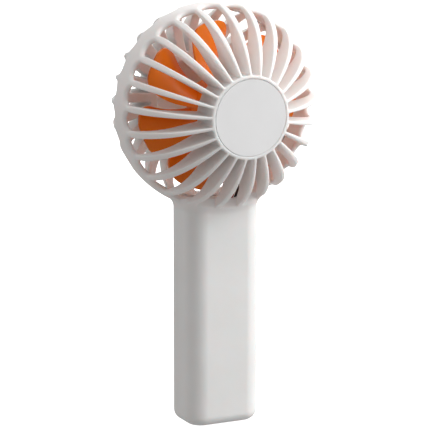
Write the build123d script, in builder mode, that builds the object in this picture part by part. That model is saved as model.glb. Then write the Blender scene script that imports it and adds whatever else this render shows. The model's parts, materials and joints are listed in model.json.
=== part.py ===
"""Handheld electric fan: a ball-shaped head with radial fins on a plain upright handle.

Frame: millimetres, +Z up, the fan blows towards -Y. The origin is the centre of the base.
"""

import os
from math import atan2, cos, degrees, radians, sin, sqrt, tan

from build123d import *

os.makedirs("parts", exist_ok=True)

# ---------------------------------------------------------------- driving sizes
# Head. "Forward" is the distance from the head's centre along the air stream, towards -Y.
head_radius = 45.0  # widest circle of the head
head_height = 141.0  # fan axis above the base
dome_front = 38.2  # how far forward the front dome would reach on the axis
dome_front_rim = 35.4  # radius of the arc at the front dome's rim
dome_rear = 44.0  # how far back the rear dome reaches on the axis
dome_rear_rim = 41.5
cavity_radius = 42.2  # inside of the band that joins the two domes
cavity_front = 18.0  # inner ends of the front fins, forward
cavity_corner = 14.2  # rounding of the space behind the front fins
cavity_rear = 22.0  # inner ends of the rear fins, back
cavity_rear_corner = 16.0
seam = 9.5  # the two housings meet in the plane y = seam
lip_radius = 42.3
lip_length = 1.5
lip_root = 0.5
lip_thickness = 1.3
lip_gap = 0.1
beyond = 60.0  # any length that reaches past the head's surface

# Fins and slots
fin_count = 25
fin_pitch = 360 / fin_count
hub_radius = 18.1  # outside of the front hub, at its face
hub_radius_inside = 17.2  # and at its inner end
hub_rim = 0.3  # the front slots stop this far outside the hub's face
front_fin_at_hub = 1.0
front_fin_at_rim = 3.2
rear_hub_radius = 19.0
rear_hub_wall = 1.8
rear_fin_at_hub = 1.2
rear_fin_at_rim = 1.4
front_slot_end = 3.0  # the front slots end this far in front of the widest circle
rear_slot_end = 6.8  # the rear slots start this far behind it

# Handle
handle_width = 34.4
handle_depth = 24.8
handle_corner = 8.0
handle_wall = 1.8
handle_bottom = 0.4  # the foot pad stands out by this much
handle_floor = 2.4
handle_ceiling = 96.0
base_rounding = 4.4
neck_rounding = 3.2
neck_margin = 1.2  # the slots stay this far from the handle
neck_bottom = head_height - head_radius - 1
neck_height = 9.0  # the edges where the head runs into the handle lie within this

# Front hub and cap
cap_radius = 16.5
cap_gap = 0.12
cap_thickness = 1.4
cap_rounding = 0.15
cap_skirt_radius = 15.6
cap_skirt_depth = 2.0
cap_skirt_wall = 1.0
pocket_radius = 15.8
pocket_floor = 1.6
pocket_rib_count = 6
pocket_rib_width = 1.2
pocket_rib_overlap = 0.4

# Motor
motor_radius = 12.2
motor_length = 10.2
can_wall = 0.6
bell_thickness = 1.2
bell_plug = 1.5
nose_radius = 3.0  # round boss of the can that centres it in the pocket's floor
nose_length = 1.2
shaft_radius = 1.0
shaft_chamfer = 0.2
bearing_radius = 2.4
running_gap = 0.02
motor_face = cavity_front + pocket_floor  # the motor stands on the pocket's floor
motor_screw_circle = 8.5
magnet_inner_radius = 9.0
magnet_span = 130.0
magnet_overhang = 0.6
rotor_radius = 8.6
rotor_back = 21.8
rotor_front = 26.0
pole_count = 3
winding_overhang = 0.6
winding_width = 5.6
pole_neck = 2.4  # width of a pole between the rotor's middle and its rim
pole_gap = 1.6
rotor_rim = 1.4
rotor_middle = 3.2
winding_start = 3.4
winding_length = 3.6
commutator_radius = 2.6
brush_length = 3.2
brush_width = 1.2
brush_gap = 0.1
terminal_circle = 9.4
terminal_width = 1.1
terminal_height = 1.3
terminal_thickness = 0.5

# Impeller
blade_count = 7
blade_tip_radius = 37.0
blade_span = 41.0  # degrees that one blade covers, seen from the front
blade_sweep = 13.0  # degrees that its root trails its tip
blade_thickness = 1.3
blade_corner = 7.0
blade_middle = 1.0  # forward
# radius, chord, pitch and lean in degrees of the sections that a blade is drawn through
blade_sections = (
    (9.5, 12.0, 46.0, -6.5),
    (24.0, 24.0, 29.0, -3.9),
    (40.0, 36.0, 19.0, 7.8),
)
blade_waist = 0.62  # its edges bow back at this share of the tip's radius
blade_bow = 0.2  # by this share of the sweep
leading_corner = 171.5  # degrees, where one blade's leading tip corner stands, seen from the front
fan_hub_radius = 11.0
fan_hub_front = 16.0
fan_hub_rear = 8.0  # back
fan_hub_wall = 1.4
fan_hub_rounding = 3.0
insert_radius = 2.2
insert_length = 8.0

# Battery, a common 18650 cell
cell_radius = 9.2
cell_length = 65.0
cell_bottom = 3.6
cell_rounding = 0.5
cell_button_radius = 3.0
cell_button_height = 1.2
cradle_wall = 0.8
cradle_gap = 0.1
cradle_edge = 2.0  # y of the open half-pipe's two edges
tab_width = 3.2
tab_thickness = 0.2
top_tab_length = 8.5
top_tab_angle = 125.0
bottom_tab_length = 11.6
bottom_tab_angle = 36.0
positive_lead_x = -4.0
negative_lead_x = 8.3
lead_overlap = 3.0  # the leads end this far above the circuit board's lower edge

# Circuit board and what stands on it
board_width = 18.8
board_bottom = 71.0
board_top = 95.0
board_thickness = 1.2
board_rear = 5.4  # y of the face that carries the switch and the port
button_height = 85.0
port_height = 75.6
lamp_height = 92.6
lamp_count = 4
lamp_spacing = 3.2
lamp_radius = 0.7
lamp_body_width = 1.6
lamp_body_height = 0.8
lamp_body_depth = 0.7
lens_margin = 2.4
lens_height = 2.2
lens_thickness = 1.0
# x, height above the base, width, height and thickness of each chip
chips = (
    (-4.0, 90.0, 4.0, 4.0, 0.9),
    (0.5, 84.5, 3.0, 3.0, 0.8),
    (-4.4, 84.0, 3.0, 2.6, 1.9),
    (2.6, 76.0, 1.6, 2.4, 0.8),
)

# Power button
button_radius = 4.8
button_gap = 0.2
button_proud = 0.7
flange_radius = 6.0
flange_thickness = 1.0
flange_gap = 0.1
stem_radius = 1.4
button_rounding = 0.6
switch_size = 5.2
switch_height = 1.6
plunger_radius = 0.9
plunger_length = 1.2
plunger_proud = 0.5
plunger_gap = 0.3
switch_floor = 0.4

# Charging port
port_width = 8.94
port_thickness = 3.16
port_shell = 0.3
port_gap = 0.15
tongue_width = 6.6
tongue_thickness = 0.7
tongue_length = 5.0
port_recess = 0.2
port_floor = 0.8  # thickness of the port's closed end

# Fasteners
boss_radius = 2.1
boss_offset = 12.2
boss_heights = (9.0, 89.0)
screw_radius = 0.95
screw_head_radius = 1.7
screw_head_height = 0.8
screw_seat = 10.1  # y of the faces that the housing screws' heads press on
screw_length = 9.0
screw_gap = 0.1
screw_cross_length = 2.2
screw_cross_width = 0.5
screw_cross_depth = 0.6
motor_screw_head_radius = 1.6
motor_screw_head_height = 1.0
motor_screw_length = 2.9
post_radius = 1.9
post_offset = 7.0
post_height = 80.3
board_screw_length = 5.0

# Foot pad and wires
pad_width = 24.6
pad_depth = 15.0
pad_corner = 3.1
pad_thickness = 1.2
pad_rounding = 0.2
wire_diameter = 1.1
wire_spacing = 1.7
wire_hole_depth = 3.2
wire_hole_width = 4.4
ceiling_depth = 8.0  # more than the thickness of the handle's ceiling
wire_drop = 7.0  # the motor's wires go down into the handle this far forward
wire_landing = 50.5  # and reach the circuit board this far below the fan axis
wire_in_hub = 14.0  # from the fan axis to where they pass through the pocket's floor
wire_clearance = 0.2
wire_bend_start = 30.0  # below the fan axis, where they leave the fin
wire_bend_end = 41.0
wire_bends = (2.2, 1.6, 10.0, 6.0, 3.5)

# ---------------------------------------------------------------- planes and small helpers
handle_rear = handle_depth / 2
inside_front = handle_wall - handle_depth / 2
inside_rear = handle_rear - handle_wall
head_front = Plane(origin=(0, 0, head_height), x_dir=(1, 0, 0), z_dir=(0, -1, 0))
section_angle = radians(90 - (fin_count // 4 + 0.5) * fin_pitch)  # in the middle of a slot
head_section = Plane(
    origin=(0, 0, head_height),
    x_dir=(cos(section_angle), 0, sin(section_angle)),
    z_dir=(sin(section_angle), 0, -cos(section_angle)),
)
fan_axis = Axis((0, 0, head_height), (0, -1, 0))
seam_plane = Plane(origin=(0, seam, 0), x_dir=(1, 0, 0), z_dir=(0, -1, 0))
# a solid lies behind its plane, or ahead of it on the side that the plane looks to
BEHIND = (Align.CENTER, Align.CENTER, Align.MAX)
AHEAD = (Align.CENTER, Align.CENTER, Align.MIN)


def crown_radius(radius, depth, rim_arc):
    """Radius of a dome's middle, a sphere that the arc at its rim runs into smoothly."""
    return ((radius - rim_arc) ** 2 + depth**2 - rim_arc**2) / (2 * (depth - rim_arc))


def dome_profile(radius, depth, rim_arc, forward):
    """Half of a dome's section: an arc at the rim that runs into the crown's arc."""
    crown = crown_radius(radius, depth, rim_arc)
    meeting = degrees(atan2(crown - depth, radius - rim_arc))
    with BuildLine() as profile:
        rim = CenterArc((radius - rim_arc, 0), rim_arc, 0, meeting * forward)
        middle = CenterArc(
            (0, (depth - crown) * forward), crown, meeting * forward, (90 - meeting) * forward
        )
        Polyline(middle @ 1, (0, 0), rim @ 0)
    make_face(profile.edges())


def facing_rear(x, y, z):
    """A plane at (x, y, z) that looks back, away from the air stream."""
    return Plane(origin=(x, y, z), x_dir=(-1, 0, 0), z_dir=(0, 1, 0))


def polar(radius, angle):
    """The point at this radius and angle in degrees."""
    return (radius * cos(radians(angle)), radius * sin(radians(angle)))


def save(builder, name):
    """Label a finished piece and write it as its own STEP file."""
    builder.part.label = name
    export_step(builder.part, f"parts/{name}.step")


# ---------------------------------------------------------------- outside shape of both housings
front_crown = crown_radius(head_radius, dome_front, dome_front_rim)
rear_crown = crown_radius(head_radius, dome_rear, dome_rear_rim)
rear_hub_floor = dome_rear - rear_crown + sqrt(rear_crown**2 - rear_hub_radius**2)
hub_face = dome_front - front_crown + sqrt(front_crown**2 - hub_radius**2)

with BuildPart() as outer_body:
    with BuildSketch(head_section):
        dome_profile(head_radius, dome_front, dome_front_rim, 1)
        Rectangle(head_radius, hub_face, align=(Align.MIN, Align.MIN), mode=Mode.INTERSECT)
    revolve(axis=fan_axis)
    with BuildSketch(head_section):
        dome_profile(head_radius, dome_rear, dome_rear_rim, -1)
    revolve(axis=fan_axis)
    with BuildSketch(Plane.XY.offset(handle_bottom)):
        RectangleRounded(handle_width, handle_depth, handle_corner)
    extrude(amount=head_height - handle_bottom)
    neck = outer_body.edges().filter_by_position(Axis.Z, neck_bottom, neck_bottom + neck_height)
    fillet(neck, neck_rounding)
    fillet(outer_body.edges().group_by(Axis.Z)[0], base_rounding)

# ---------------------------------------------------------------- spaces inside both housings
with BuildPart() as head_space:
    with BuildSketch(head_section) as front_space:
        Rectangle(cavity_radius, cavity_front, align=(Align.MIN, Align.MIN))
        fillet(front_space.vertices().sort_by(Axis.X)[-2:].sort_by(Axis.Y)[-1], cavity_corner)
    revolve(axis=fan_axis)
    with BuildSketch(head_section) as rear_space:
        Rectangle(cavity_radius, cavity_rear, align=(Align.MIN, Align.MAX))
        fillet(rear_space.vertices().sort_by(Axis.X)[-2:].sort_by(Axis.Y)[0], cavity_rear_corner)
    revolve(axis=fan_axis)
    with Locations(head_front.offset(rear_hub_wall - rear_hub_floor)):
        Cylinder(rear_hub_radius - rear_hub_wall, rear_hub_floor, align=AHEAD)

with BuildPart() as handle_space:
    with BuildSketch(Plane.XY.offset(handle_floor)):
        RectangleRounded(
            handle_width - 2 * handle_wall, handle_depth - 2 * handle_wall,
            handle_corner - handle_wall,
        )
    extrude(amount=handle_ceiling - handle_floor)


# ---------------------------------------------------------------- slots between the fins
def slot_half_width(radius, fin):
    return radius * tan(radians(fin_pitch / 2)) - fin / 2


def slot_ring(hub_outside, hub_inside, fin_at_hub, fin_at_rim, slot_end, forward):
    """All slots of one dome. Each narrows to the hub and has a round end on the head's band."""
    inner = min(hub_outside, hub_inside) - 1
    outer = head_radius + 2
    inner_half = slot_half_width(inner, fin_at_hub)
    outer_half = slot_half_width(outer, fin_at_rim)
    reach = beyond * forward
    with BuildPart() as cutter:
        with BuildSketch(Plane.XY):
            with BuildLine():
                Polyline(
                    (-inner_half, inner), (inner_half, inner), (outer_half, outer),
                    (-outer_half, outer), close=True,
                )
            make_face()
        extrude(amount=reach)
        with BuildSketch(Plane.XZ) as round_end:
            with Locations((0, slot_end * forward)):
                far_side = Align.MIN if forward > 0 else Align.MAX
                Rectangle(2 * outer_half, beyond, align=(Align.CENTER, far_side))
            near = round_end.vertices().sort_by(Axis.Y, reverse=forward < 0)[:2]
            fillet(near, outer_half - 0.05)
        extrude(amount=-outer, mode=Mode.INTERSECT)
        with BuildSketch(Plane.YZ):
            with BuildLine():
                Polyline(
                    (hub_inside, 0), (hub_inside, cavity_front * forward),
                    (hub_outside, hub_face * forward), (hub_outside, reach), (outer, reach),
                    (outer, 0), close=True,
                )
            make_face()
        extrude(amount=outer_half, both=True, mode=Mode.INTERSECT)
    with BuildPart() as ring:
        with Locations(head_front):
            with PolarLocations(0, fin_count, start_angle=fin_pitch / 2):
                add(cutter.part)
        with BuildSketch(Plane.XY):
            RectangleRounded(
                handle_width + 2 * neck_margin, handle_depth + 2 * neck_margin,
                handle_corner + neck_margin,
            )
        extrude(amount=head_height - cavity_radius / 2, mode=Mode.SUBTRACT)
    return ring.part


front_slots = slot_ring(
    hub_radius + hub_rim, hub_radius_inside, front_fin_at_hub, front_fin_at_rim, front_slot_end, 1
)
rear_slots = slot_ring(
    rear_hub_radius, rear_hub_radius, rear_fin_at_hub, rear_fin_at_rim, rear_slot_end, -1
)

# ---------------------------------------------------------------- front housing
with BuildPart() as screw_bosses:
    for boss_height in boss_heights:
        for side in (-1, 1):
            with Locations(facing_rear(side * boss_offset, inside_front - 1, boss_height)):
                Cylinder(boss_radius, seam - inside_front + 1, align=AHEAD)
    add(outer_body.part, mode=Mode.INTERSECT)

wire_angle = 90 - (fin_count // 2) * fin_pitch  # the fin just right of the lowest slot
wire_plane = Plane(
    origin=(0, 0, head_height),
    x_dir=(cos(radians(wire_angle)), 0, sin(radians(wire_angle))),
    z_dir=(sin(radians(wire_angle)), 0, -cos(radians(wire_angle))),
)
wire_hole_x = (head_height - handle_ceiling) * cos(radians(wire_angle))

with BuildPart() as front_housing:
    add(outer_body.part)
    split(bisect_by=seam_plane, keep=Keep.TOP)
    add(head_space.part, mode=Mode.SUBTRACT)
    add(handle_space.part, mode=Mode.SUBTRACT)
    add(front_slots, mode=Mode.SUBTRACT)
    add(rear_slots, mode=Mode.SUBTRACT)
    add(screw_bosses.part)
    # room for the rear housing's lip
    with Locations(head_front.offset(-seam)):
        Cylinder(lip_radius + lip_gap, lip_length + lip_gap, align=AHEAD, mode=Mode.SUBTRACT)
    # hub: seat of the cap, pocket of the motor with its centring ribs, hole for the motor's nose
    with Locations(head_front.offset(hub_face)):
        Cylinder(cap_radius + cap_gap, cap_thickness, align=BEHIND, mode=Mode.SUBTRACT)
        Cylinder(pocket_radius, hub_face - motor_face, align=BEHIND, mode=Mode.SUBTRACT)
    with Locations(head_front.offset(motor_face)):
        with PolarLocations((pocket_radius + motor_radius) / 2, pocket_rib_count):
            Box(
                pocket_radius - motor_radius + pocket_rib_overlap, pocket_rib_width,
                motor_length / 2, align=AHEAD,
            )
        Cylinder(motor_radius, motor_length, align=AHEAD, mode=Mode.SUBTRACT)
        Cylinder(nose_radius, pocket_floor, align=BEHIND, mode=Mode.SUBTRACT)
        with PolarLocations(motor_screw_circle, 2):
            Cylinder(screw_radius, pocket_floor, align=BEHIND, mode=Mode.SUBTRACT)
        with PolarLocations(wire_in_hub, 1, start_angle=wire_angle):
            Box(wire_hole_depth, wire_hole_width, pocket_floor, align=BEHIND, mode=Mode.SUBTRACT)
    # wire hole in the handle's ceiling, screw holes in the bosses, recess of the foot pad
    with Locations((wire_hole_x, -wire_drop, handle_ceiling)):
        Box(wire_hole_width, wire_hole_depth, ceiling_depth, align=AHEAD, mode=Mode.SUBTRACT)
    for boss_height in boss_heights:
        for side in (-1, 1):
            with Locations(facing_rear(side * boss_offset, screw_seat, boss_height)):
                Cylinder(screw_radius, screw_length, align=BEHIND, mode=Mode.SUBTRACT)
    with BuildSketch(Plane.XY.offset(handle_bottom)):
        RectangleRounded(pad_width, pad_depth, pad_corner)
    extrude(amount=pad_thickness - handle_bottom, mode=Mode.SUBTRACT)
save(front_housing, "front_housing")

# ---------------------------------------------------------------- rear housing
with BuildPart() as rear_housing:
    add(outer_body.part)
    split(bisect_by=seam_plane, keep=Keep.BOTTOM)
    add(head_space.part, mode=Mode.SUBTRACT)
    add(handle_space.part, mode=Mode.SUBTRACT)
    # lip that enters the front housing's band
    with BuildSketch(head_front.offset(-seam - lip_root)):
        Circle(lip_radius)
        Circle(lip_radius - lip_thickness, mode=Mode.SUBTRACT)
    extrude(amount=lip_length + lip_root)
    add(rear_slots, mode=Mode.SUBTRACT)
    # posts for the circuit board
    for side in (-1, 1):
        with Locations(facing_rear(side * post_offset, board_rear, post_height)):
            Cylinder(post_radius, inside_rear - board_rear, align=AHEAD)
            Cylinder(
                screw_radius, board_screw_length - board_thickness, align=AHEAD, mode=Mode.SUBTRACT
            )
    # holes for the button, the port and the lamps
    with Locations(facing_rear(0, inside_rear, button_height)):
        Cylinder(button_radius + button_gap, handle_wall, align=AHEAD, mode=Mode.SUBTRACT)
    with BuildSketch(facing_rear(0, inside_rear, port_height)):
        SlotOverall(port_width + 2 * port_gap, port_thickness + 2 * port_gap)
    extrude(amount=handle_wall, mode=Mode.SUBTRACT)
    with Locations(facing_rear(0, inside_rear, lamp_height)):
        with GridLocations(lamp_spacing, 0, lamp_count, 1):
            Cylinder(lamp_radius, handle_wall, align=AHEAD, mode=Mode.SUBTRACT)
    # pads and stepped holes of the housing screws
    for boss_height in boss_heights:
        for side in (-1, 1):
            with Locations(facing_rear(side * boss_offset, screw_seat, boss_height)):
                Cylinder(boss_radius, screw_seat - seam, align=BEHIND)
                Cylinder(screw_radius, screw_seat - seam, align=BEHIND, mode=Mode.SUBTRACT)
                Cylinder(
                    screw_head_radius + screw_gap, handle_wall, align=AHEAD, mode=Mode.SUBTRACT
                )
save(rear_housing, "rear_housing")

# ---------------------------------------------------------------- front cap
with BuildPart() as front_cap:
    with Locations(head_front.offset(hub_face)):
        Cylinder(cap_radius, cap_thickness, align=BEHIND)
        Cylinder(cap_skirt_radius, cap_thickness + cap_skirt_depth, align=BEHIND)
    with Locations(head_front.offset(hub_face - cap_thickness)):
        Cylinder(
            cap_skirt_radius - cap_skirt_wall, cap_skirt_depth, align=BEHIND, mode=Mode.SUBTRACT
        )
    fillet(front_cap.edges().group_by(Axis.Y)[0], cap_rounding)
save(front_cap, "front_cap")

# ---------------------------------------------------------------- motor, the pieces that stand still
motor_open_end = motor_face + motor_length
nose_tip = motor_face - nose_length
bell_inside = motor_open_end - bell_plug

with BuildPart() as motor_can:
    with Locations(head_front.offset(motor_face)):
        Cylinder(motor_radius, motor_length, align=AHEAD)
        Cylinder(nose_radius, nose_length, align=BEHIND)
    with Locations(head_front.offset(motor_face + can_wall)):
        Cylinder(motor_radius - can_wall, motor_length, align=AHEAD, mode=Mode.SUBTRACT)
    with Locations(head_front.offset(nose_tip)):
        Cylinder(bearing_radius, nose_length + can_wall, align=AHEAD, mode=Mode.SUBTRACT)
    with Locations(head_front.offset(motor_face)):
        with PolarLocations(motor_screw_circle, 2):
            Cylinder(screw_radius, can_wall, align=AHEAD, mode=Mode.SUBTRACT)
save(motor_can, "motor_can")

with BuildPart() as motor_end_bell:
    with Locations(head_front.offset(motor_open_end)):
        Cylinder(motor_radius, bell_thickness, align=AHEAD)
        Cylinder(motor_radius - can_wall, bell_plug, align=BEHIND)
    with Locations(head_front.offset(bell_inside)):
        Cylinder(bearing_radius, bell_plug + bell_thickness / 2, align=AHEAD, mode=Mode.SUBTRACT)
save(motor_end_bell, "motor_end_bell")

with BuildPart() as motor_bearings:
    with Locations(head_front.offset(nose_tip)):
        Cylinder(bearing_radius, nose_length + can_wall, align=AHEAD)
    with Locations(head_front.offset(bell_inside)):
        Cylinder(bearing_radius, bell_plug + bell_thickness / 2, align=AHEAD)
    with Locations(head_front.offset(motor_face)):
        Cylinder(shaft_radius + running_gap, 3 * motor_length, mode=Mode.SUBTRACT)
save(motor_bearings, "motor_bearings")

with BuildPart() as motor_magnets:
    with BuildSketch(head_front.offset(rotor_back - magnet_overhang)):
        with BuildLine():
            outer_arc = CenterArc((0, 0), motor_radius - can_wall, -magnet_span / 2, magnet_span)
            inner_arc = CenterArc((0, 0), magnet_inner_radius, -magnet_span / 2, magnet_span)
            Line(outer_arc @ 0, inner_arc @ 0)
            Line(outer_arc @ 1, inner_arc @ 1)
        make_face()
        mirror(about=Plane.YZ)
    extrude(amount=rotor_front - rotor_back + 2 * magnet_overhang)
save(motor_magnets, "motor_magnets")

with BuildPart() as motor_brushes:
    with Locations(head_front.offset(bell_inside)):
        with PolarLocations(commutator_radius + brush_gap, 2, start_angle=90):
            Box(
                brush_length, brush_width, brush_width, align=(Align.MIN, Align.CENTER, Align.MAX)
            )
save(motor_brushes, "motor_brushes")

with BuildPart() as motor_terminals:
    with Locations(wire_plane.offset(-wire_spacing / 2), wire_plane.offset(wire_spacing / 2)):
        with Locations((terminal_circle, motor_open_end + bell_thickness)):
            Box(
                terminal_thickness, terminal_height, terminal_width,
                align=(Align.MAX, Align.MIN, Align.CENTER),
            )
save(motor_terminals, "motor_terminals")

with BuildPart() as motor_screws:
    with Locations(head_front.offset(cavity_front)):
        with PolarLocations(motor_screw_circle, 2):
            Cylinder(motor_screw_head_radius, motor_screw_head_height, align=BEHIND)
            Cylinder(screw_radius, motor_screw_length, align=AHEAD)
save(motor_screws, "motor_screws")

# ---------------------------------------------------------------- motor, the pieces that turn
shaft_end = fan_hub_front - insert_length

with BuildPart() as motor_shaft:
    with Locations(head_front.offset(shaft_end)):
        Cylinder(shaft_radius, motor_open_end + bell_thickness / 4 - shaft_end, align=AHEAD)
    chamfer(motor_shaft.edges().group_by(Axis.Y)[-1], shaft_chamfer)
save(motor_shaft, "motor_shaft")

with BuildPart() as rotor_core:
    with BuildSketch(head_front.offset(rotor_back)):
        Circle(rotor_radius)
        Circle(rotor_radius - rotor_rim, mode=Mode.SUBTRACT)
        with PolarLocations(0, pole_count, start_angle=180 / pole_count):
            Rectangle(rotor_radius, pole_gap, align=(Align.MIN, Align.CENTER), mode=Mode.SUBTRACT)
        Circle(rotor_middle)
        with PolarLocations(0, pole_count):
            Rectangle(rotor_radius - rotor_rim / 2, pole_neck, align=(Align.MIN, Align.CENTER))
        Circle(shaft_radius, mode=Mode.SUBTRACT)
    extrude(amount=rotor_front - rotor_back)
save(rotor_core, "rotor_core")

with BuildPart() as rotor_windings:
    with Locations(head_front.offset(rotor_back - winding_overhang)):
        with PolarLocations(winding_start, pole_count):
            Box(
                winding_length, winding_width, rotor_front - rotor_back + 2 * winding_overhang,
                align=(Align.MIN, Align.CENTER, Align.MIN),
            )
    add(rotor_core.part, mode=Mode.SUBTRACT)
save(rotor_windings, "rotor_windings")

with BuildPart() as commutator:
    with Locations(head_front.offset(rotor_front)):
        Cylinder(commutator_radius, bell_inside - brush_gap - rotor_front, align=AHEAD)
        Cylinder(shaft_radius, motor_length, align=AHEAD, mode=Mode.SUBTRACT)
save(commutator, "commutator")

# ---------------------------------------------------------------- impeller
with BuildPart() as blade:
    # one blade, drawn around the XY plane with its tip towards +Y and the air stream towards +Z
    for radius, chord, pitch, lean in blade_sections:
        section = Plane(
            origin=(radius * sin(radians(lean)), radius, blade_middle),
            x_dir=(cos(radians(pitch)), 0, -sin(radians(pitch))),
            z_dir=(0, 1, 0),
        )
        with BuildSketch(section):
            with BuildLine():
                camber = chord / 12
                back = camber - blade_thickness
                face_arc = ThreePointArc((-chord / 2, camber), (0, 0), (chord / 2, camber))
                back_arc = ThreePointArc(
                    (-chord / 2, back), (0, -blade_thickness), (chord / 2, back)
                )
                Line(face_arc @ 0, back_arc @ 0)
                Line(face_arc @ 1, back_arc @ 1)
            make_face()
    loft()
    # outline of the blade, seen from the front
    with BuildSketch(Plane.XY.offset(-beyond / 2)) as outline:
        with BuildLine():
            tip_start = 90 - (blade_span + blade_sweep) / 2
            root_start = tip_start + blade_sweep
            root_radius = fan_hub_radius - fan_hub_wall / 2
            for edge in (0, blade_span):
                ThreePointArc(
                    polar(root_radius, root_start + edge),
                    polar(blade_waist * blade_tip_radius, root_start + edge - blade_bow * blade_sweep),
                    polar(blade_tip_radius, tip_start + edge),
                )
            CenterArc((0, 0), blade_tip_radius, tip_start, blade_span)
            CenterArc((0, 0), root_radius, root_start, blade_span)
        make_face()
        fillet(outline.vertices().sort_by_distance((0, 0))[-2:], blade_corner)
    extrude(amount=beyond, mode=Mode.INTERSECT)

with BuildPart() as impeller:
    with Locations(head_front.offset(-fan_hub_rear)):
        Cylinder(fan_hub_radius, fan_hub_rear + fan_hub_front, align=AHEAD)
    fillet(impeller.edges().group_by(Axis.Y)[-1], fan_hub_rounding)
    hub_inside_length = fan_hub_rear + fan_hub_front - fan_hub_wall
    with Locations(head_front.offset(fan_hub_wall - fan_hub_rear)):
        Cylinder(
            fan_hub_radius - fan_hub_wall, hub_inside_length, align=AHEAD, mode=Mode.SUBTRACT
        )
        Cylinder(2 * insert_radius, hub_inside_length, align=AHEAD)
    with Locations(head_front.offset(fan_hub_front)):
        Cylinder(insert_radius, insert_length, align=BEHIND, mode=Mode.SUBTRACT)
    with Locations(head_front):
        with PolarLocations(0, blade_count, start_angle=leading_corner - tip_start):
            add(blade.part)
save(impeller, "impeller")

with BuildPart() as impeller_insert:
    with Locations(head_front.offset(fan_hub_front)):
        Cylinder(insert_radius, insert_length, align=BEHIND)
        Cylinder(shaft_radius, insert_length, align=BEHIND, mode=Mode.SUBTRACT)
save(impeller_insert, "impeller_insert")

# ---------------------------------------------------------------- battery and its cradle
cell_top = cell_bottom + cell_length

with BuildPart() as battery_cell:
    with Locations((0, 0, cell_bottom)):
        Cylinder(cell_radius, cell_length - cell_button_height, align=AHEAD)
    fillet(battery_cell.edges().filter_by(GeomType.CIRCLE), cell_rounding)
    with Locations((0, 0, cell_top)):
        Cylinder(cell_button_radius, 2 * cell_button_height, align=BEHIND)
save(battery_cell, "battery_cell")

with BuildPart() as battery_cradle:
    with Locations((0, 0, cell_bottom)):
        Cylinder(
            cell_radius + cradle_gap + cradle_wall, cell_length - cell_button_height, align=AHEAD
        )
        Cylinder(cell_radius + cradle_gap, cell_length, align=AHEAD, mode=Mode.SUBTRACT)
    split(bisect_by=Plane.XZ.offset(-cradle_edge), keep=Keep.TOP)
save(battery_cradle, "battery_cradle")

with BuildPart() as battery_pad:
    with Locations((0, 0, handle_floor)):
        Cylinder(cell_radius - 1, cell_bottom - handle_floor - tab_thickness, align=AHEAD)
save(battery_pad, "battery_pad")

lead_y = board_rear + wire_diameter / 2
lead_top = board_bottom + lead_overlap

with BuildPart() as battery_tabs:
    with Locations((0, 0, cell_top)):
        with Locations(Rotation(0, 0, top_tab_angle)):
            Box(
                top_tab_length, tab_width, tab_thickness,
                align=(Align.MIN, Align.CENTER, Align.MIN),
            )
    with Locations((0, 0, cell_bottom)):
        with Locations(Rotation(0, 0, bottom_tab_angle)):
            Box(
                bottom_tab_length, tab_width, tab_thickness,
                align=(Align.MIN, Align.CENTER, Align.MAX),
            )
save(battery_tabs, "battery_tabs")

with BuildPart() as battery_lead_positive:
    with Locations((positive_lead_x, lead_y, cell_top + tab_thickness)):
        Cylinder(wire_diameter / 2, lead_top - cell_top - tab_thickness, align=AHEAD)
save(battery_lead_positive, "battery_lead_positive")

with BuildPart() as battery_lead_negative:
    with Locations((negative_lead_x, lead_y, cell_bottom)):
        Cylinder(wire_diameter / 2, lead_top - cell_bottom, align=AHEAD)
save(battery_lead_negative, "battery_lead_negative")

# ---------------------------------------------------------------- circuit board
board_front = board_rear - board_thickness

with BuildPart() as circuit_board:
    with Locations((0, board_rear, board_bottom)):
        Box(
            board_width, board_thickness, board_top - board_bottom,
            align=(Align.CENTER, Align.MAX, Align.MIN),
        )
    for side in (-1, 1):
        with Locations(facing_rear(side * post_offset, board_rear, post_height)):
            Cylinder(screw_radius, board_thickness, align=BEHIND, mode=Mode.SUBTRACT)
save(circuit_board, "circuit_board")

with BuildPart() as board_chips:
    for x, z, width, height, thickness in chips:
        with Locations((x, board_front, z)):
            Box(width, thickness, height, align=(Align.CENTER, Align.MAX, Align.CENTER))
save(board_chips, "board_chips")

with BuildPart() as board_screws:
    for side in (-1, 1):
        with Locations(facing_rear(side * post_offset, board_front, post_height)):
            Cylinder(motor_screw_head_radius, motor_screw_head_height, align=BEHIND)
            Cylinder(screw_radius, board_screw_length, align=AHEAD)
save(board_screws, "board_screws")

with BuildPart() as status_lamps:
    with Locations(facing_rear(0, board_rear, lamp_height)):
        with GridLocations(lamp_spacing, 0, lamp_count, 1):
            Box(lamp_body_width, lamp_body_height, lamp_body_depth, align=AHEAD)
save(status_lamps, "status_lamps")

with BuildPart() as lamp_lens:
    with Locations(facing_rear(0, inside_rear, lamp_height)):
        Box(
            (lamp_count - 1) * lamp_spacing + lens_margin, lens_height, lens_thickness,
            align=BEHIND,
        )
        with GridLocations(lamp_spacing, 0, lamp_count, 1):
            Cylinder(lamp_radius, handle_wall, align=AHEAD)
save(lamp_lens, "lamp_lens")

# ---------------------------------------------------------------- charging port
with BuildPart() as charging_port:
    with BuildSketch(facing_rear(0, board_rear, port_height)):
        SlotOverall(port_width, port_thickness)
    extrude(amount=handle_rear - port_recess - board_rear)
    with BuildSketch(facing_rear(0, board_rear + port_floor, port_height)):
        SlotOverall(port_width - 2 * port_shell, port_thickness - 2 * port_shell)
    extrude(amount=handle_rear, mode=Mode.SUBTRACT)
save(charging_port, "charging_port")

with BuildPart() as port_tongue:
    with Locations(facing_rear(0, board_rear + port_floor, port_height)):
        Box(tongue_width, tongue_thickness, tongue_length, align=AHEAD)
save(port_tongue, "port_tongue")

# ---------------------------------------------------------------- power button and its switch
flange_face = inside_rear - flange_gap
plunger_top = board_rear + switch_height + plunger_proud

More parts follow.
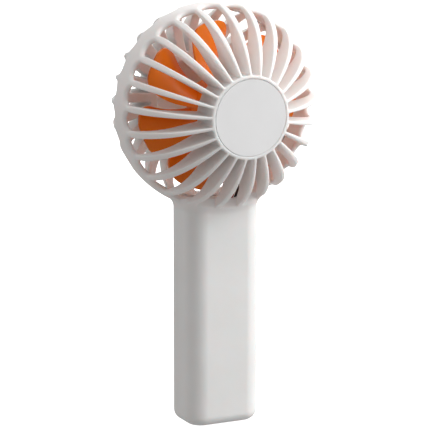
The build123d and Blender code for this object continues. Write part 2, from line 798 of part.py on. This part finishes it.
with BuildPart() as switch_body:
    with Locations(facing_rear(0, board_rear, button_height)):
        Box(switch_size, switch_size, switch_height, align=AHEAD)
    with Locations(facing_rear(0, board_rear + switch_floor, button_height)):
        Cylinder(plunger_radius + plunger_gap, switch_height, align=AHEAD, mode=Mode.SUBTRACT)
save(switch_body, "switch_body")

with BuildPart() as switch_plunger:
    with Locations(facing_rear(0, plunger_top, button_height)):
        Cylinder(plunger_radius, plunger_length, align=BEHIND)
save(switch_plunger, "switch_plunger")

with BuildPart() as power_button:
    with Locations(facing_rear(0, handle_rear + button_proud, button_height)):
        Cylinder(button_radius, handle_rear + button_proud - flange_face, align=BEHIND)
    fillet(power_button.edges().group_by(Axis.Y)[-1], button_rounding)
    with Locations(facing_rear(0, flange_face, button_height)):
        Cylinder(flange_radius, flange_thickness, align=BEHIND)
        Cylinder(stem_radius, flange_face - plunger_top, align=BEHIND)
save(power_button, "power_button")

# ---------------------------------------------------------------- housing screws and foot pad
with BuildPart() as housing_screws:
    for boss_height in boss_heights:
        for side in (-1, 1):
            with Locations(facing_rear(side * boss_offset, screw_seat, boss_height)):
                Cylinder(screw_head_radius, screw_head_height, align=AHEAD)
                Cylinder(screw_radius, screw_length, align=BEHIND)
            with Locations(facing_rear(side * boss_offset, screw_seat + screw_head_height, boss_height)):
                with PolarLocations(0, 2, angular_range=180):
                    Box(
                        screw_cross_length, screw_cross_width, screw_cross_depth, align=BEHIND,
                        mode=Mode.SUBTRACT,
                    )
save(housing_screws, "housing_screws")

with BuildPart() as foot_pad:
    with BuildSketch(Plane.XY):
        RectangleRounded(pad_width, pad_depth, pad_corner)
    extrude(amount=pad_thickness)
    fillet(foot_pad.edges().group_by(Axis.Z)[0], pad_rounding)
save(foot_pad, "foot_pad")


# ---------------------------------------------------------------- motor wires
def motor_wire(name, side):
    """A wire from a motor terminal, along the inside of one fin, down to the circuit board."""
    over_motor = motor_open_end + bell_thickness + wire_clearance + wire_diameter / 2
    behind_fins = cavity_front - wire_diameter
    with BuildPart() as wire:
        with BuildLine(wire_plane.offset(side * wire_spacing / 2)) as route:
            FilletPolyline(
                (terminal_circle, over_motor), (wire_in_hub, over_motor), (wire_in_hub, behind_fins),
                (wire_bend_start, behind_fins), (wire_bend_end, wire_drop), (wire_landing, wire_drop),
                (wire_landing, -board_front), radius=wire_bends,
            )
        with BuildSketch(Plane(origin=route.line @ 0, z_dir=route.line % 0)):
            Circle(wire_diameter / 2)
        sweep()
    save(wire, name)


motor_wire("motor_wire_positive", 1)
motor_wire("motor_wire_negative", -1)
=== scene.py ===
"""Looks of the handheld fan: housings with rounded fins, materials, light and camera."""

import json
import math

import bpy
import numpy as np
import openvdb
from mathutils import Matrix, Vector


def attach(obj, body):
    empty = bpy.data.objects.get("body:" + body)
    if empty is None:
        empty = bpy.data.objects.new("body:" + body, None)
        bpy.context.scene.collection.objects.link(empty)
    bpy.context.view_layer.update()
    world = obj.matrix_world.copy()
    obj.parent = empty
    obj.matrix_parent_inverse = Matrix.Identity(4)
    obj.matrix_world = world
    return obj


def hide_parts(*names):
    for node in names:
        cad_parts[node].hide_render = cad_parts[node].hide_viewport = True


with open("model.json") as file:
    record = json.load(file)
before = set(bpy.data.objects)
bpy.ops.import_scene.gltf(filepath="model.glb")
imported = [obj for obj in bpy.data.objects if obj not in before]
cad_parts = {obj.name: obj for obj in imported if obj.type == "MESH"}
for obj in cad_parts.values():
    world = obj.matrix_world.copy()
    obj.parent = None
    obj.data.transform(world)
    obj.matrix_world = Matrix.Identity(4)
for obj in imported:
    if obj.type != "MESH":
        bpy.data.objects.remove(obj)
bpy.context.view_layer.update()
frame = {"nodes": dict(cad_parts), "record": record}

MM = 0.001

# ---------------------------------------------------------------- sizes in millimetres, as in the CAD
HEAD_HEIGHT = 141.0
HEAD_RADIUS = 45.0
DOME_FRONT, DOME_FRONT_RIM = 38.2, 35.4  # depth, and radius of the arc at the rim
DOME_REAR, DOME_REAR_RIM = 44.0, 41.5
CAVITY_RADIUS = 42.2
CAVITY_FRONT, CAVITY_CORNER = 18.0, 14.2
CAVITY_REAR, CAVITY_REAR_CORNER = 22.0, 16.0
SEAM = 9.5
LIP_RADIUS, LIP_THICKNESS, LIP_LENGTH, LIP_GAP, LIP_ROOT = 42.3, 1.3, 1.5, 0.1, 0.4
FIN_COUNT = 25
FIN_PITCH = 2 * math.pi / FIN_COUNT
HUB_RADIUS, HUB_RADIUS_INSIDE = 18.1, 17.2
REAR_HUB_RADIUS, REAR_HUB_WALL, REAR_HUB_FLOOR = 19.0, 1.8, 38.0
FRONT_FIN = (1.0, 3.2)  # thickness by the hub and at the rim
REAR_FIN = (1.2, 1.4)
REAR_TAPER, REAR_TAPER_DEPTH = 0.75, 2.0  # the rear slots narrow at this rate, to this depth
FRONT_SLOT_END, REAR_SLOT_END = 3.0, 6.8
SLOT_REACH = 1.0  # how far past the hub and the ball the slots' sides are laid out
HANDLE = (34.4, 24.8, 8.0)  # width, depth, corner
HANDLE_WALL = 1.8
HANDLE_BOTTOM, HANDLE_FLOOR, HANDLE_CEILING = 0.4, 2.4, 96.0
BASE_ROUNDING, NECK_ROUNDING, NECK_MARGIN = 4.4, 3.2, 1.2
CAP_SEAT_RADIUS, CAP_THICKNESS = 16.62, 1.4
POCKET_RADIUS, POCKET_FACE, NOSE_RADIUS = 15.8, 19.6, 3.0
BOSS_RADIUS, BOSS_OFFSET, BOSS_HEIGHTS = 2.1, 12.2, (9.0, 89.0)
SCREW_RADIUS, SCREW_SEAT, SCREW_RECESS, SCREW_END = 0.95, 10.1, 1.8, 1.1
BUTTON_HOLE, BUTTON_HEIGHT = 5.0, 85.0
PORT_HEIGHT, PORT_HOLE = 75.6, (9.3, 3.6, 1.79)
LAMP_HEIGHT, LAMP_COUNT, LAMP_SPACING, LAMP_RADIUS = 92.6, 4, 3.2, 0.7
PAD = (24.6, 15.0, 3.1)
PAD_TOP = 1.2
EDGE = 0.4  # rounding of the front fins' edges
SOFT_EDGE = 1.6  # and of the edges where the front slots end
SOFT_FROM, SOFT_LENGTH = 12.0, 9.0  # the rounding grows from here back, over this length
REAR_EDGE = 0.12
SEAT_EDGE = 0.06
HOLE_EDGE = 0.2
SEAM_EDGE, SEAM_GAP = 0.15, 0.05
FAR = 1000.0  # distance to a solid that has nothing in it yet

# ---------------------------------------------------------------- fineness of the housings' meshes
VOXEL = 0.4
BAND = 3 * VOXEL  # distances are kept this far from the surface
SLAB = 24  # layers of voxels worked out at once
SETTLE_ROUNDS = 3  # moves of the points onto the exact surface
SETTLE_LIMIT = 0.15  # the most that a point moves in one of them
SLOPE_STEP = 0.02


# ---------------------------------------------------------------- distance functions
def rounded_rectangle(x, y, width, depth, corner):
    """Signed distance to a rounded rectangle in the plane."""
    across = np.abs(x) - (width / 2 - corner)
    along = np.abs(y) - (depth / 2 - corner)
    outside = np.hypot(np.maximum(across, 0), np.maximum(along, 0))
    return outside + np.minimum(np.maximum(across, along), 0) - corner


def both(a, b, rounding):
    """Intersection of two solids with its edge rounded."""
    round_part = np.hypot(np.maximum(a + rounding, 0), np.maximum(b + rounding, 0))
    return np.minimum(np.maximum(a, b), -rounding) + round_part


def either(a, b, rounding):
    """Union of two solids with a fillet between them."""
    return -both(-a, -b, rounding)


def dome(radius, depth, rim, r, forward):
    """Distance to a dome whose rim arc runs into a crown sphere. Forward is positive here."""
    offset = radius - rim
    crown = (offset**2 + depth**2 - rim**2) / (2 * (depth - rim))
    crown_height = forward + crown - depth
    on_crown = crown_height * offset > (crown - depth) * r
    return np.where(on_crown, np.hypot(r, crown_height) - crown, np.hypot(r - offset, forward) - rim)


def hub_face():
    """How far forward the hub's flat face is."""
    offset = HEAD_RADIUS - DOME_FRONT_RIM
    crown = (offset**2 + DOME_FRONT**2 - DOME_FRONT_RIM**2) / (2 * (DOME_FRONT - DOME_FRONT_RIM))
    return DOME_FRONT - crown + math.sqrt(crown**2 - HUB_RADIUS**2)


HUB_FACE = hub_face()


def slots(r, angle, forward, inner_hub, outer_hub, fins, slot_end):
    """Distance to the ring of slots between the fins of one dome."""
    turn = np.mod(angle - math.pi / 2, FIN_PITCH) - FIN_PITCH / 2
    across = np.abs(r * np.sin(turn))
    along = r * np.cos(turn)
    inner = min(inner_hub, outer_hub) - SLOT_REACH
    outer = HEAD_RADIUS + 2 * SLOT_REACH
    half_pitch = math.tan(FIN_PITCH / 2)
    inner_half = inner * half_pitch - fins[0] / 2
    outer_half = outer * half_pitch - fins[1] / 2
    slope = (outer_half - inner_half) / (outer - inner)
    side = (across - inner_half - (along - inner) * slope) / math.hypot(1, slope)
    past_end = np.minimum(forward - slot_end - outer_half, 0)
    round_end = np.hypot(across, past_end) - outer_half
    rise = np.clip((forward - CAVITY_FRONT) / (HUB_FACE - CAVITY_FRONT), 0, 1)
    hub = inner_hub + (outer_hub - inner_hub) * rise - along
    return both(np.maximum(side, round_end), hub, EDGE)


def rear_slots(r, angle, forward):
    """Distance to the rear slots. They narrow below the surface, so the fins end in sharp crests."""
    surface = dome(HEAD_RADIUS, DOME_REAR, DOME_REAR_RIM, r, -forward)
    narrowing = REAR_TAPER * np.clip(-surface, 0, REAR_TAPER_DEPTH)
    hub = REAR_HUB_RADIUS
    return slots(r, angle, -forward, hub, hub, REAR_FIN, REAR_SLOT_END) + narrowing


def outside(x, y, z, r, forward):
    """Distance to the ball and the handle as one full solid."""
    ball = np.where(
        forward >= 0,
        dome(HEAD_RADIUS, DOME_FRONT, DOME_FRONT_RIM, r, forward),
        dome(HEAD_RADIUS, DOME_REAR, DOME_REAR_RIM, r, -forward),
    )
    ball = both(ball, forward - HUB_FACE, EDGE)
    grip = both(rounded_rectangle(x, y, *HANDLE), HANDLE_BOTTOM - z, BASE_ROUNDING)
    grip = np.maximum(grip, z - HEAD_HEIGHT)
    return either(ball, grip, NECK_ROUNDING)


def head_space(r, forward):
    """Distance to the space inside the ball, with the hollow of the rear hub."""
    space = np.where(
        forward >= 0,
        both(r - CAVITY_RADIUS, forward - CAVITY_FRONT, CAVITY_CORNER),
        both(r - CAVITY_RADIUS, -forward - CAVITY_REAR, CAVITY_REAR_CORNER),
    )
    hollow = np.maximum(r - REAR_HUB_RADIUS + REAR_HUB_WALL, -forward - REAR_HUB_FLOOR)
    return np.minimum(space, np.maximum(hollow, forward))


def handle_space(x, y, z):
    """Distance to the space inside the handle."""
    width, depth, corner = HANDLE
    across = rounded_rectangle(
        x, y, width - 2 * HANDLE_WALL, depth - 2 * HANDLE_WALL, corner - HANDLE_WALL
    )
    return np.maximum(across, np.maximum(HANDLE_FLOOR - z, z - HANDLE_CEILING))


def openings(x, y, z, r, forward):
    """Distance to all slots. They stay clear of the handle."""
    width, depth, corner = HANDLE
    keep_out = rounded_rectangle(
        x, y, width + 2 * NECK_MARGIN, depth + 2 * NECK_MARGIN, corner + NECK_MARGIN
    )
    keep_out = np.maximum(keep_out, z - HEAD_HEIGHT + CAVITY_RADIUS / 2)
    angle = np.arctan2(z - HEAD_HEIGHT, x)
    front = slots(r, angle, forward, HUB_RADIUS_INSIDE, HUB_RADIUS, FRONT_FIN, FRONT_SLOT_END)
    return both(np.minimum(front, rear_slots(r, angle, forward)), -keep_out, EDGE)


def slot_edge(forward):
    """Rounding of the slots' edges: soft on the front band, crisp on the rear crests."""
    softness = np.clip((SOFT_FROM - forward) / SOFT_LENGTH, 0, 1)
    front_edge = EDGE + (SOFT_EDGE - EDGE) * softness**2 * (3 - 2 * softness)
    return np.where(forward >= 0, front_edge, REAR_EDGE)


def screw_bosses(x, y, z):
    """Distances to the bosses of the housing screws and to their stepped holes."""
    bosses = np.full_like(x, FAR)
    holes = np.full_like(x, FAR)
    for height in BOSS_HEIGHTS:
        from_axis = np.hypot(np.abs(x) - BOSS_OFFSET, z - height)
        bosses = np.minimum(bosses, np.maximum(from_axis - BOSS_RADIUS, y - SCREW_SEAT))
        holes = np.minimum(holes, np.maximum(from_axis - SCREW_RADIUS, SCREW_END - y))
        holes = np.minimum(holes, np.maximum(from_axis - SCREW_RECESS, SCREW_SEAT - y))
    return bosses, holes


def lamp_holes(x, z):
    """Distance to the row of round holes for the lamps."""
    holes = np.full_like(x, FAR)
    for place in range(LAMP_COUNT):
        centre = (place - (LAMP_COUNT - 1) / 2) * LAMP_SPACING
        holes = np.minimum(holes, np.hypot(x - centre, z - LAMP_HEIGHT) - LAMP_RADIUS)
    return holes


def shell(x, y, z):
    """Distance to both housings as one solid, without their seam. Millimetres, CAD frame."""
    forward = -y
    r = np.hypot(x, z - HEAD_HEIGHT)
    solid = outside(x, y, z, r, forward)
    shape = both(solid, -head_space(r, forward), EDGE)
    shape = np.maximum(shape, -handle_space(x, y, z))
    shape = both(shape, -openings(x, y, z, r, forward), slot_edge(forward))
    bosses, screw_holes = screw_bosses(x, y, z)
    shape = np.minimum(shape, np.maximum(bosses, solid))
    through_rear = HANDLE[1] / 2 - HANDLE_WALL - y
    button = np.hypot(x, z - BUTTON_HEIGHT) - BUTTON_HOLE
    port = rounded_rectangle(x, z - PORT_HEIGHT, *PORT_HOLE)
    for cut in (button, port):
        shape = both(shape, -np.maximum(cut, through_rear), HOLE_EDGE)
    lamps = np.maximum(lamp_holes(x, z), through_rear)
    pad = np.maximum(rounded_rectangle(x, y, *PAD), z - PAD_TOP)
    pocket = np.maximum(r - POCKET_RADIUS, POCKET_FACE - forward)
    nose = np.maximum(r - NOSE_RADIUS, -forward)
    for cut in (screw_holes, lamps, pad, pocket, nose):
        shape = np.maximum(shape, -cut)
    seat = np.maximum(r - CAP_SEAT_RADIUS, HUB_FACE - CAP_THICKNESS - forward)
    return both(shape, -seat, SEAT_EDGE)


def front_shell(x, y, z):
    """The front housing: everything in front of the seam, less the room for the lip."""
    r = np.hypot(x, z - HEAD_HEIGHT)
    half = both(shell(x, y, z), y - SEAM, SEAM_EDGE)
    room = np.maximum(r - LIP_RADIUS - LIP_GAP, SEAM - LIP_LENGTH - LIP_GAP - y)
    return np.maximum(half, -room)


def rear_shell(x, y, z):
    """The rear housing: everything behind the seam, and the lip."""
    r = np.hypot(x, z - HEAD_HEIGHT)
    half = both(shell(x, y, z), SEAM + SEAM_GAP - y, SEAM_EDGE)
    ring = np.abs(r - LIP_RADIUS + LIP_THICKNESS / 2) - LIP_THICKNESS / 2
    lip_middle = SEAM + (LIP_ROOT - LIP_LENGTH) / 2
    lip = np.maximum(ring, np.abs(y - lip_middle) - (LIP_LENGTH + LIP_ROOT) / 2)
    lip = np.maximum(lip, -rear_slots(r, np.arctan2(z - HEAD_HEIGHT, x), -y))
    return np.minimum(half, lip)


# ---------------------------------------------------------------- meshes from distance functions
def sample(distance, low, high, grid):
    """Fill the grid with the distances inside one box, slab by slab."""
    start = np.floor(np.array(low) / VOXEL).astype(int)
    stop = np.ceil(np.array(high) / VOXEL).astype(int)
    for first in range(start[2], stop[2], SLAB):
        last = min(first + SLAB, stop[2])
        axes = [np.arange(start[0], stop[0]), np.arange(start[1], stop[1]), np.arange(first, last)]
        places = [(axis * VOXEL).astype(np.float32) for axis in axes]
        x, y, z = np.meshgrid(*places, indexing="ij")
        values = np.clip(distance(x, y, z), -BAND, BAND).astype(np.float32)
        grid.copyFromArray(values, ijk=(int(start[0]), int(start[1]), int(first)))


def slope_of(distance, points):
    """Distance and unit slope at the points."""
    parts = []
    for axis in range(3):
        offset = np.zeros(3)
        offset[axis] = SLOPE_STEP
        ahead = distance(*(points + offset).T)
        behind = distance(*(points - offset).T)
        parts.append(ahead - behind)
    slope = np.stack(parts, 1)
    length = np.linalg.norm(slope, axis=1, keepdims=True)
    return distance(*points.T), slope / np.maximum(length, 1e-9)


def mesh_from(name, distance, boxes):
    """A closed mesh on the surface where the distance is zero."""
    grid = openvdb.FloatGrid(BAND)
    for low, high in boxes:
        sample(distance, low, high, grid)
    points, quads = grid.convertToQuads(isovalue=0.0)
    points = points.astype(float) * VOXEL
    for _ in range(SETTLE_ROUNDS):
        away, slope = slope_of(distance, points)
        points -= slope * np.clip(away, -SETTLE_LIMIT, SETTLE_LIMIT)[:, None]
    mesh = bpy.data.meshes.new(name)
    mesh.from_pydata((points * MM).tolist(), [], quads[:, ::-1].tolist())
    mesh.validate()
    mesh.update()
    mesh.shade_smooth()
    made = bpy.data.objects.new(name, mesh)
    bpy.context.scene.collection.objects.link(made)
    return made


# edges of the boxes that the surfaces lie in
HEAD_SIDE = HEAD_RADIUS + 1
HEAD_LOW, HEAD_TOP = 92.0, HEAD_HEIGHT + HEAD_SIDE
GRIP_SIDE = HANDLE[0] / 2 + 1
GRIP_FRONT, GRIP_REAR, GRIP_LOW = -14.0, 14.0, -1.0
FRONT_END, REAR_START = SEAM + 1, SEAM - 3

front_skin = mesh_from(
    "front_skin",
    front_shell,
    (
        ((-GRIP_SIDE, GRIP_FRONT, GRIP_LOW), (GRIP_SIDE, FRONT_END, HEAD_LOW)),
        ((-HEAD_SIDE, -HUB_FACE - 1, HEAD_LOW), (HEAD_SIDE, FRONT_END, HEAD_TOP)),
    ),
)
rear_skin = mesh_from(
    "rear_skin",
    rear_shell,
    (
        ((-GRIP_SIDE, REAR_START, GRIP_LOW), (GRIP_SIDE, GRIP_REAR, HEAD_LOW)),
        ((-HEAD_SIDE, REAR_START, HEAD_LOW), (HEAD_SIDE, DOME_REAR + 1, HEAD_TOP)),
    ),
)
for skin, node in ((front_skin, "front_housing"), (rear_skin, "rear_housing")):
    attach(skin, "fan_body")
    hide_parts(node)


# ---------------------------------------------------------------- materials
NOISE_LOW, NOISE_HIGH = 0.3, 0.7  # noise below and above these counts as its ends
CLOUDS, METAL_CLOUDS, METAL_STREAKS = 55, 180, 900  # repeats in a metre
GLOSS_SPREAD = 0.05
METAL_GLOSS_SPREAD = (-0.07, 0.1)
METAL_RELIEF = 0.000006  # metres
finishes = {}


def new_material(name, colour, roughness, **sockets):
    """A principled material, kept under its name in finishes."""
    made = bpy.data.materials.new(name)
    finishes[name] = made
    made.use_nodes = True
    shader = made.node_tree.nodes["Principled BSDF"]
    shader.inputs["Base Color"].default_value = (*colour, 1)
    shader.inputs["Roughness"].default_value = roughness
    for socket, value in sockets.items():
        shader.inputs[socket.replace("_", " ")].default_value = value
    return made


def noise(material, scale, **inputs):
    """A noise texture that reads the piece's own coordinates, in metres."""
    nodes, links = material.node_tree.nodes, material.node_tree.links
    coordinates = nodes.get("Texture Coordinate") or nodes.new("ShaderNodeTexCoord")
    made = nodes.new("ShaderNodeTexNoise")
    made.inputs["Scale"].default_value = scale
    for socket, value in inputs.items():
        made.inputs[socket].default_value = value
    links.new(coordinates.outputs["Object"], made.inputs["Vector"])
    return made


def ramp(material, source, low_value, high_value):
    """Spread the middle of a texture's values from low_value to high_value."""
    made = material.node_tree.nodes.new("ShaderNodeMapRange")
    made.inputs["From Min"].default_value = NOISE_LOW
    made.inputs["From Max"].default_value = NOISE_HIGH
    made.inputs["To Min"].default_value = low_value
    made.inputs["To Max"].default_value = high_value
    material.node_tree.links.new(source.outputs[0], made.inputs["Value"])
    return made


def vary(material, source, low_colour, high_colour):
    """Colour the surface between two colours by a texture."""
    made = material.node_tree.nodes.new("ShaderNodeMix")
    made.data_type = "RGBA"
    factor = ramp(material, source, 0, 1)
    material.node_tree.links.new(factor.outputs["Result"], made.inputs["Factor"])
    made.inputs["A"].default_value = (*low_colour, 1)
    made.inputs["B"].default_value = (*high_colour, 1)
    shader = material.node_tree.nodes["Principled BSDF"]
    material.node_tree.links.new(made.outputs["Result"], shader.inputs["Base Color"])


def rough(material, source, low_value, high_value):
    """Vary the roughness by a texture."""
    shader = material.node_tree.nodes["Principled BSDF"]
    made = ramp(material, source, low_value, high_value)
    material.node_tree.links.new(made.outputs["Result"], shader.inputs["Roughness"])


def bump(material, source, height):
    """Raise the surface by a texture, height in metres."""
    made = material.node_tree.nodes.new("ShaderNodeBump")
    made.inputs["Distance"].default_value = height
    made.inputs["Strength"].default_value = 1.0
    material.node_tree.links.new(source.outputs[0], made.inputs["Height"])
    shader = material.node_tree.nodes["Principled BSDF"]
    material.node_tree.links.new(made.outputs["Normal"], shader.inputs["Normal"])


def moulded(name, dark, light, roughness, grain=2600, height=0.00001, **sockets):
    """Moulded plastic: faint cloudy tone, fine spark-eroded grain and uneven gloss."""
    made = new_material(name, light, roughness, **sockets)
    clouds = noise(made, CLOUDS, Detail=5)
    fine = noise(made, grain, Detail=3)
    vary(made, clouds, dark, light)
    rough(made, clouds, roughness - GLOSS_SPREAD, roughness + GLOSS_SPREAD)
    bump(made, fine, height)


def metal(name, dark, light, roughness, distortion=0.4):
    """Worked metal: streaks or grain in tone and gloss."""
    made = new_material(name, light, roughness, Metallic=1.0)
    streaks = noise(made, METAL_STREAKS, Detail=4, Distortion=distortion)
    clouds = noise(made, METAL_CLOUDS, Detail=3)
    vary(made, clouds, dark, light)
    less, more = METAL_GLOSS_SPREAD
    rough(made, streaks, roughness + less, roughness + more)
    bump(made, streaks, METAL_RELIEF)


moulded(
    "white_shell", (0.82, 0.80, 0.785), (0.85, 0.83, 0.82), 0.5, Subsurface_Weight=0.5,
    Subsurface_Scale=0.004, Subsurface_Radius=(1.0, 0.7, 0.62),
)
moulded("grey_cap", (0.76, 0.765, 0.77), (0.79, 0.795, 0.80), 0.45)
moulded(
    "orange_plastic", (0.90, 0.20, 0.003), (0.97, 0.24, 0.006), 0.34, height=0.000005,
    Subsurface_Weight=0.3, Subsurface_Scale=0.002, Subsurface_Radius=(1.0, 0.35, 0.1),
)
moulded("white_button", (0.77, 0.76, 0.745), (0.80, 0.79, 0.78), 0.42)
moulded("black_plastic", (0.012, 0.012, 0.013), (0.022, 0.022, 0.024), 0.45)
moulded("cradle_plastic", (0.50, 0.50, 0.49), (0.56, 0.56, 0.55), 0.5)
moulded("board_green", (0.006, 0.07, 0.022), (0.012, 0.10, 0.035), 0.3, grain=900)
moulded("chip_black", (0.01, 0.01, 0.01), (0.02, 0.02, 0.02), 0.5)
moulded("cell_wrap", (0.015, 0.08, 0.34), (0.02, 0.11, 0.42), 0.28, height=0.000004)
moulded("red_wire", (0.38, 0.01, 0.008), (0.45, 0.015, 0.01), 0.35)
moulded("black_wire", (0.008, 0.008, 0.008), (0.015, 0.015, 0.015), 0.35)
moulded("foam", (0.01, 0.01, 0.01), (0.025, 0.025, 0.025), 0.95, grain=1800, height=0.0002)
moulded("pad_rubber", (0.55, 0.55, 0.54), (0.62, 0.62, 0.61), 0.75, height=0.00002)
moulded("lamp_body", (0.75, 0.74, 0.62), (0.83, 0.81, 0.70), 0.25, height=0.000003)
moulded(
    "clear_plastic", (0.86, 0.89, 0.89), (0.92, 0.94, 0.94), 0.18, height=0.000003,
    Transmission_Weight=0.7,
)
metal("brass", (0.55, 0.38, 0.12), (0.68, 0.48, 0.18), 0.3)
metal("zinc_steel", (0.42, 0.43, 0.44), (0.52, 0.53, 0.54), 0.32)
metal("sintered_bronze", (0.25, 0.14, 0.06), (0.34, 0.20, 0.09), 0.55, distortion=0.0)
moulded("ferrite", (0.012, 0.012, 0.013), (0.03, 0.03, 0.033), 0.6, grain=1500, height=0.00003)
metal("copper", (0.62, 0.24, 0.11), (0.74, 0.32, 0.16), 0.3)
metal("tinned_metal", (0.55, 0.55, 0.54), (0.64, 0.64, 0.63), 0.28)
metal("screw_steel", (0.36, 0.37, 0.39), (0.46, 0.47, 0.49), 0.35)
metal("bright_steel", (0.60, 0.60, 0.61), (0.68, 0.68, 0.69), 0.14)
metal("lamination", (0.12, 0.13, 0.14), (0.20, 0.21, 0.23), 0.5)
metal("enamel_copper", (0.38, 0.09, 0.02), (0.52, 0.15, 0.04), 0.25)
metal("nickel", (0.50, 0.49, 0.46), (0.58, 0.57, 0.54), 0.3)
metal("switch_metal", (0.48, 0.48, 0.48), (0.56, 0.56, 0.56), 0.3)

# ---------------------------------------------------------------- every node gets its slot's material
slot_of = {part["node"]: part["material_slot"] for part in frame["record"]["subparts"]}
for name, node in frame["nodes"].items():
    node.data.materials.clear()
    node.data.materials.append(finishes[slot_of[name]])
for skin in (front_skin, rear_skin):
    skin.data.materials.append(finishes["white_shell"])

# ---------------------------------------------------------------- floor, light and camera
FLOOR_SIZE = 40.0
floor_mesh = bpy.data.meshes.new("floor")
half = FLOOR_SIZE / 2
corners = [(-half, -half, 0), (half, -half, 0), (half, half, 0), (-half, half, 0)]
floor_mesh.from_pydata(corners, [], [(0, 1, 2, 3)])
floor = bpy.data.objects.new("floor", floor_mesh)
bpy.context.scene.collection.objects.link(floor)
floor.visible_diffuse = False
floor.visible_glossy = False
white = (1, 1, 1, 1)
floor_mesh.materials.append(
    new_material("floor_white", (0.9, 0.9, 0.9), 0.9, Emission_Color=white, Emission_Strength=0.9)
)

CENTRE = Vector((0, 0, HEAD_HEIGHT * MM))


def from_front(turn, rise):
    """The direction that stands this far around from the front and this high, in radians."""
    return Vector(
        (math.sin(turn) * math.cos(rise), -math.cos(turn) * math.cos(rise), math.sin(rise))
    )


def softbox(name, azimuth, elevation, distance, size, power):
    """A white rectangular light aimed at the head, turned like the camera, in degrees."""
    data = bpy.data.lights.new(name, "AREA")
    data.shape = "RECTANGLE"
    data.size, data.size_y = size
    data.energy = power
    made = bpy.data.objects.new(name, data)
    bpy.context.scene.collection.objects.link(made)
    to_light = from_front(math.radians(azimuth), math.radians(elevation))
    made.location = CENTRE + to_light * distance
    made.rotation_mode = "QUATERNION"
    made.rotation_quaternion = to_light.to_track_quat("Z", "Y")


softbox("key", 64, 22, 1.0, (0.8, 0.9), 9.9)
softbox("front", 36, 45, 1.2, (0.5, 0.8), 4.4)
softbox("top", -10, 80, 0.9, (0.7, 0.7), 2.0)
softbox("back", 145, 10, 0.9, (0.9, 0.9), 4.5)
softbox("rim", -135, 10, 0.9, (0.5, 0.9), 1.3)

AMBIENT = (0.41, 0.40, 0.395, 1)  # the light from all around; the camera sees white
world = bpy.data.worlds.new("studio")
bpy.context.scene.world = world
world.use_nodes = True
surroundings = world.node_tree.nodes["Background"]
surroundings.inputs["Strength"].default_value = 1.0
path = world.node_tree.nodes.new("ShaderNodeLightPath")
backdrop = world.node_tree.nodes.new("ShaderNodeMix")
backdrop.data_type = "RGBA"
backdrop.inputs["A"].default_value = AMBIENT
backdrop.inputs["B"].default_value = white
world.node_tree.links.new(path.outputs["Is Camera Ray"], backdrop.inputs["Factor"])
world.node_tree.links.new(backdrop.outputs["Result"], surroundings.inputs["Color"])

CAMERA_AZIMUTH = -25.8
CAMERA_ELEVATION = 10.1  # of the line from the head's middle to the camera
CAMERA_DISTANCE = 1.2
PICTURE_WIDTH = 0.186  # metres, at the head's middle
HEAD_ABOVE_MIDDLE = 0.256  # of the picture's height

camera_data = bpy.data.cameras.new("camera")
camera = bpy.data.objects.new("camera", camera_data)
bpy.context.scene.collection.objects.link(camera)
bpy.context.scene.camera = camera
azimuth = math.radians(CAMERA_AZIMUTH)
elevation = math.radians(CAMERA_ELEVATION)
pitch = elevation + math.atan(HEAD_ABOVE_MIDDLE * PICTURE_WIDTH / CAMERA_DISTANCE)

camera.location = CENTRE + from_front(azimuth, elevation) * CAMERA_DISTANCE
camera.rotation_mode = "QUATERNION"
camera.rotation_quaternion = from_front(azimuth, pitch).to_track_quat("Z", "Y")
camera_data.lens = camera_data.sensor_width * CAMERA_DISTANCE / PICTURE_WIDTH

bpy.context.scene.view_settings.view_transform = "Standard"
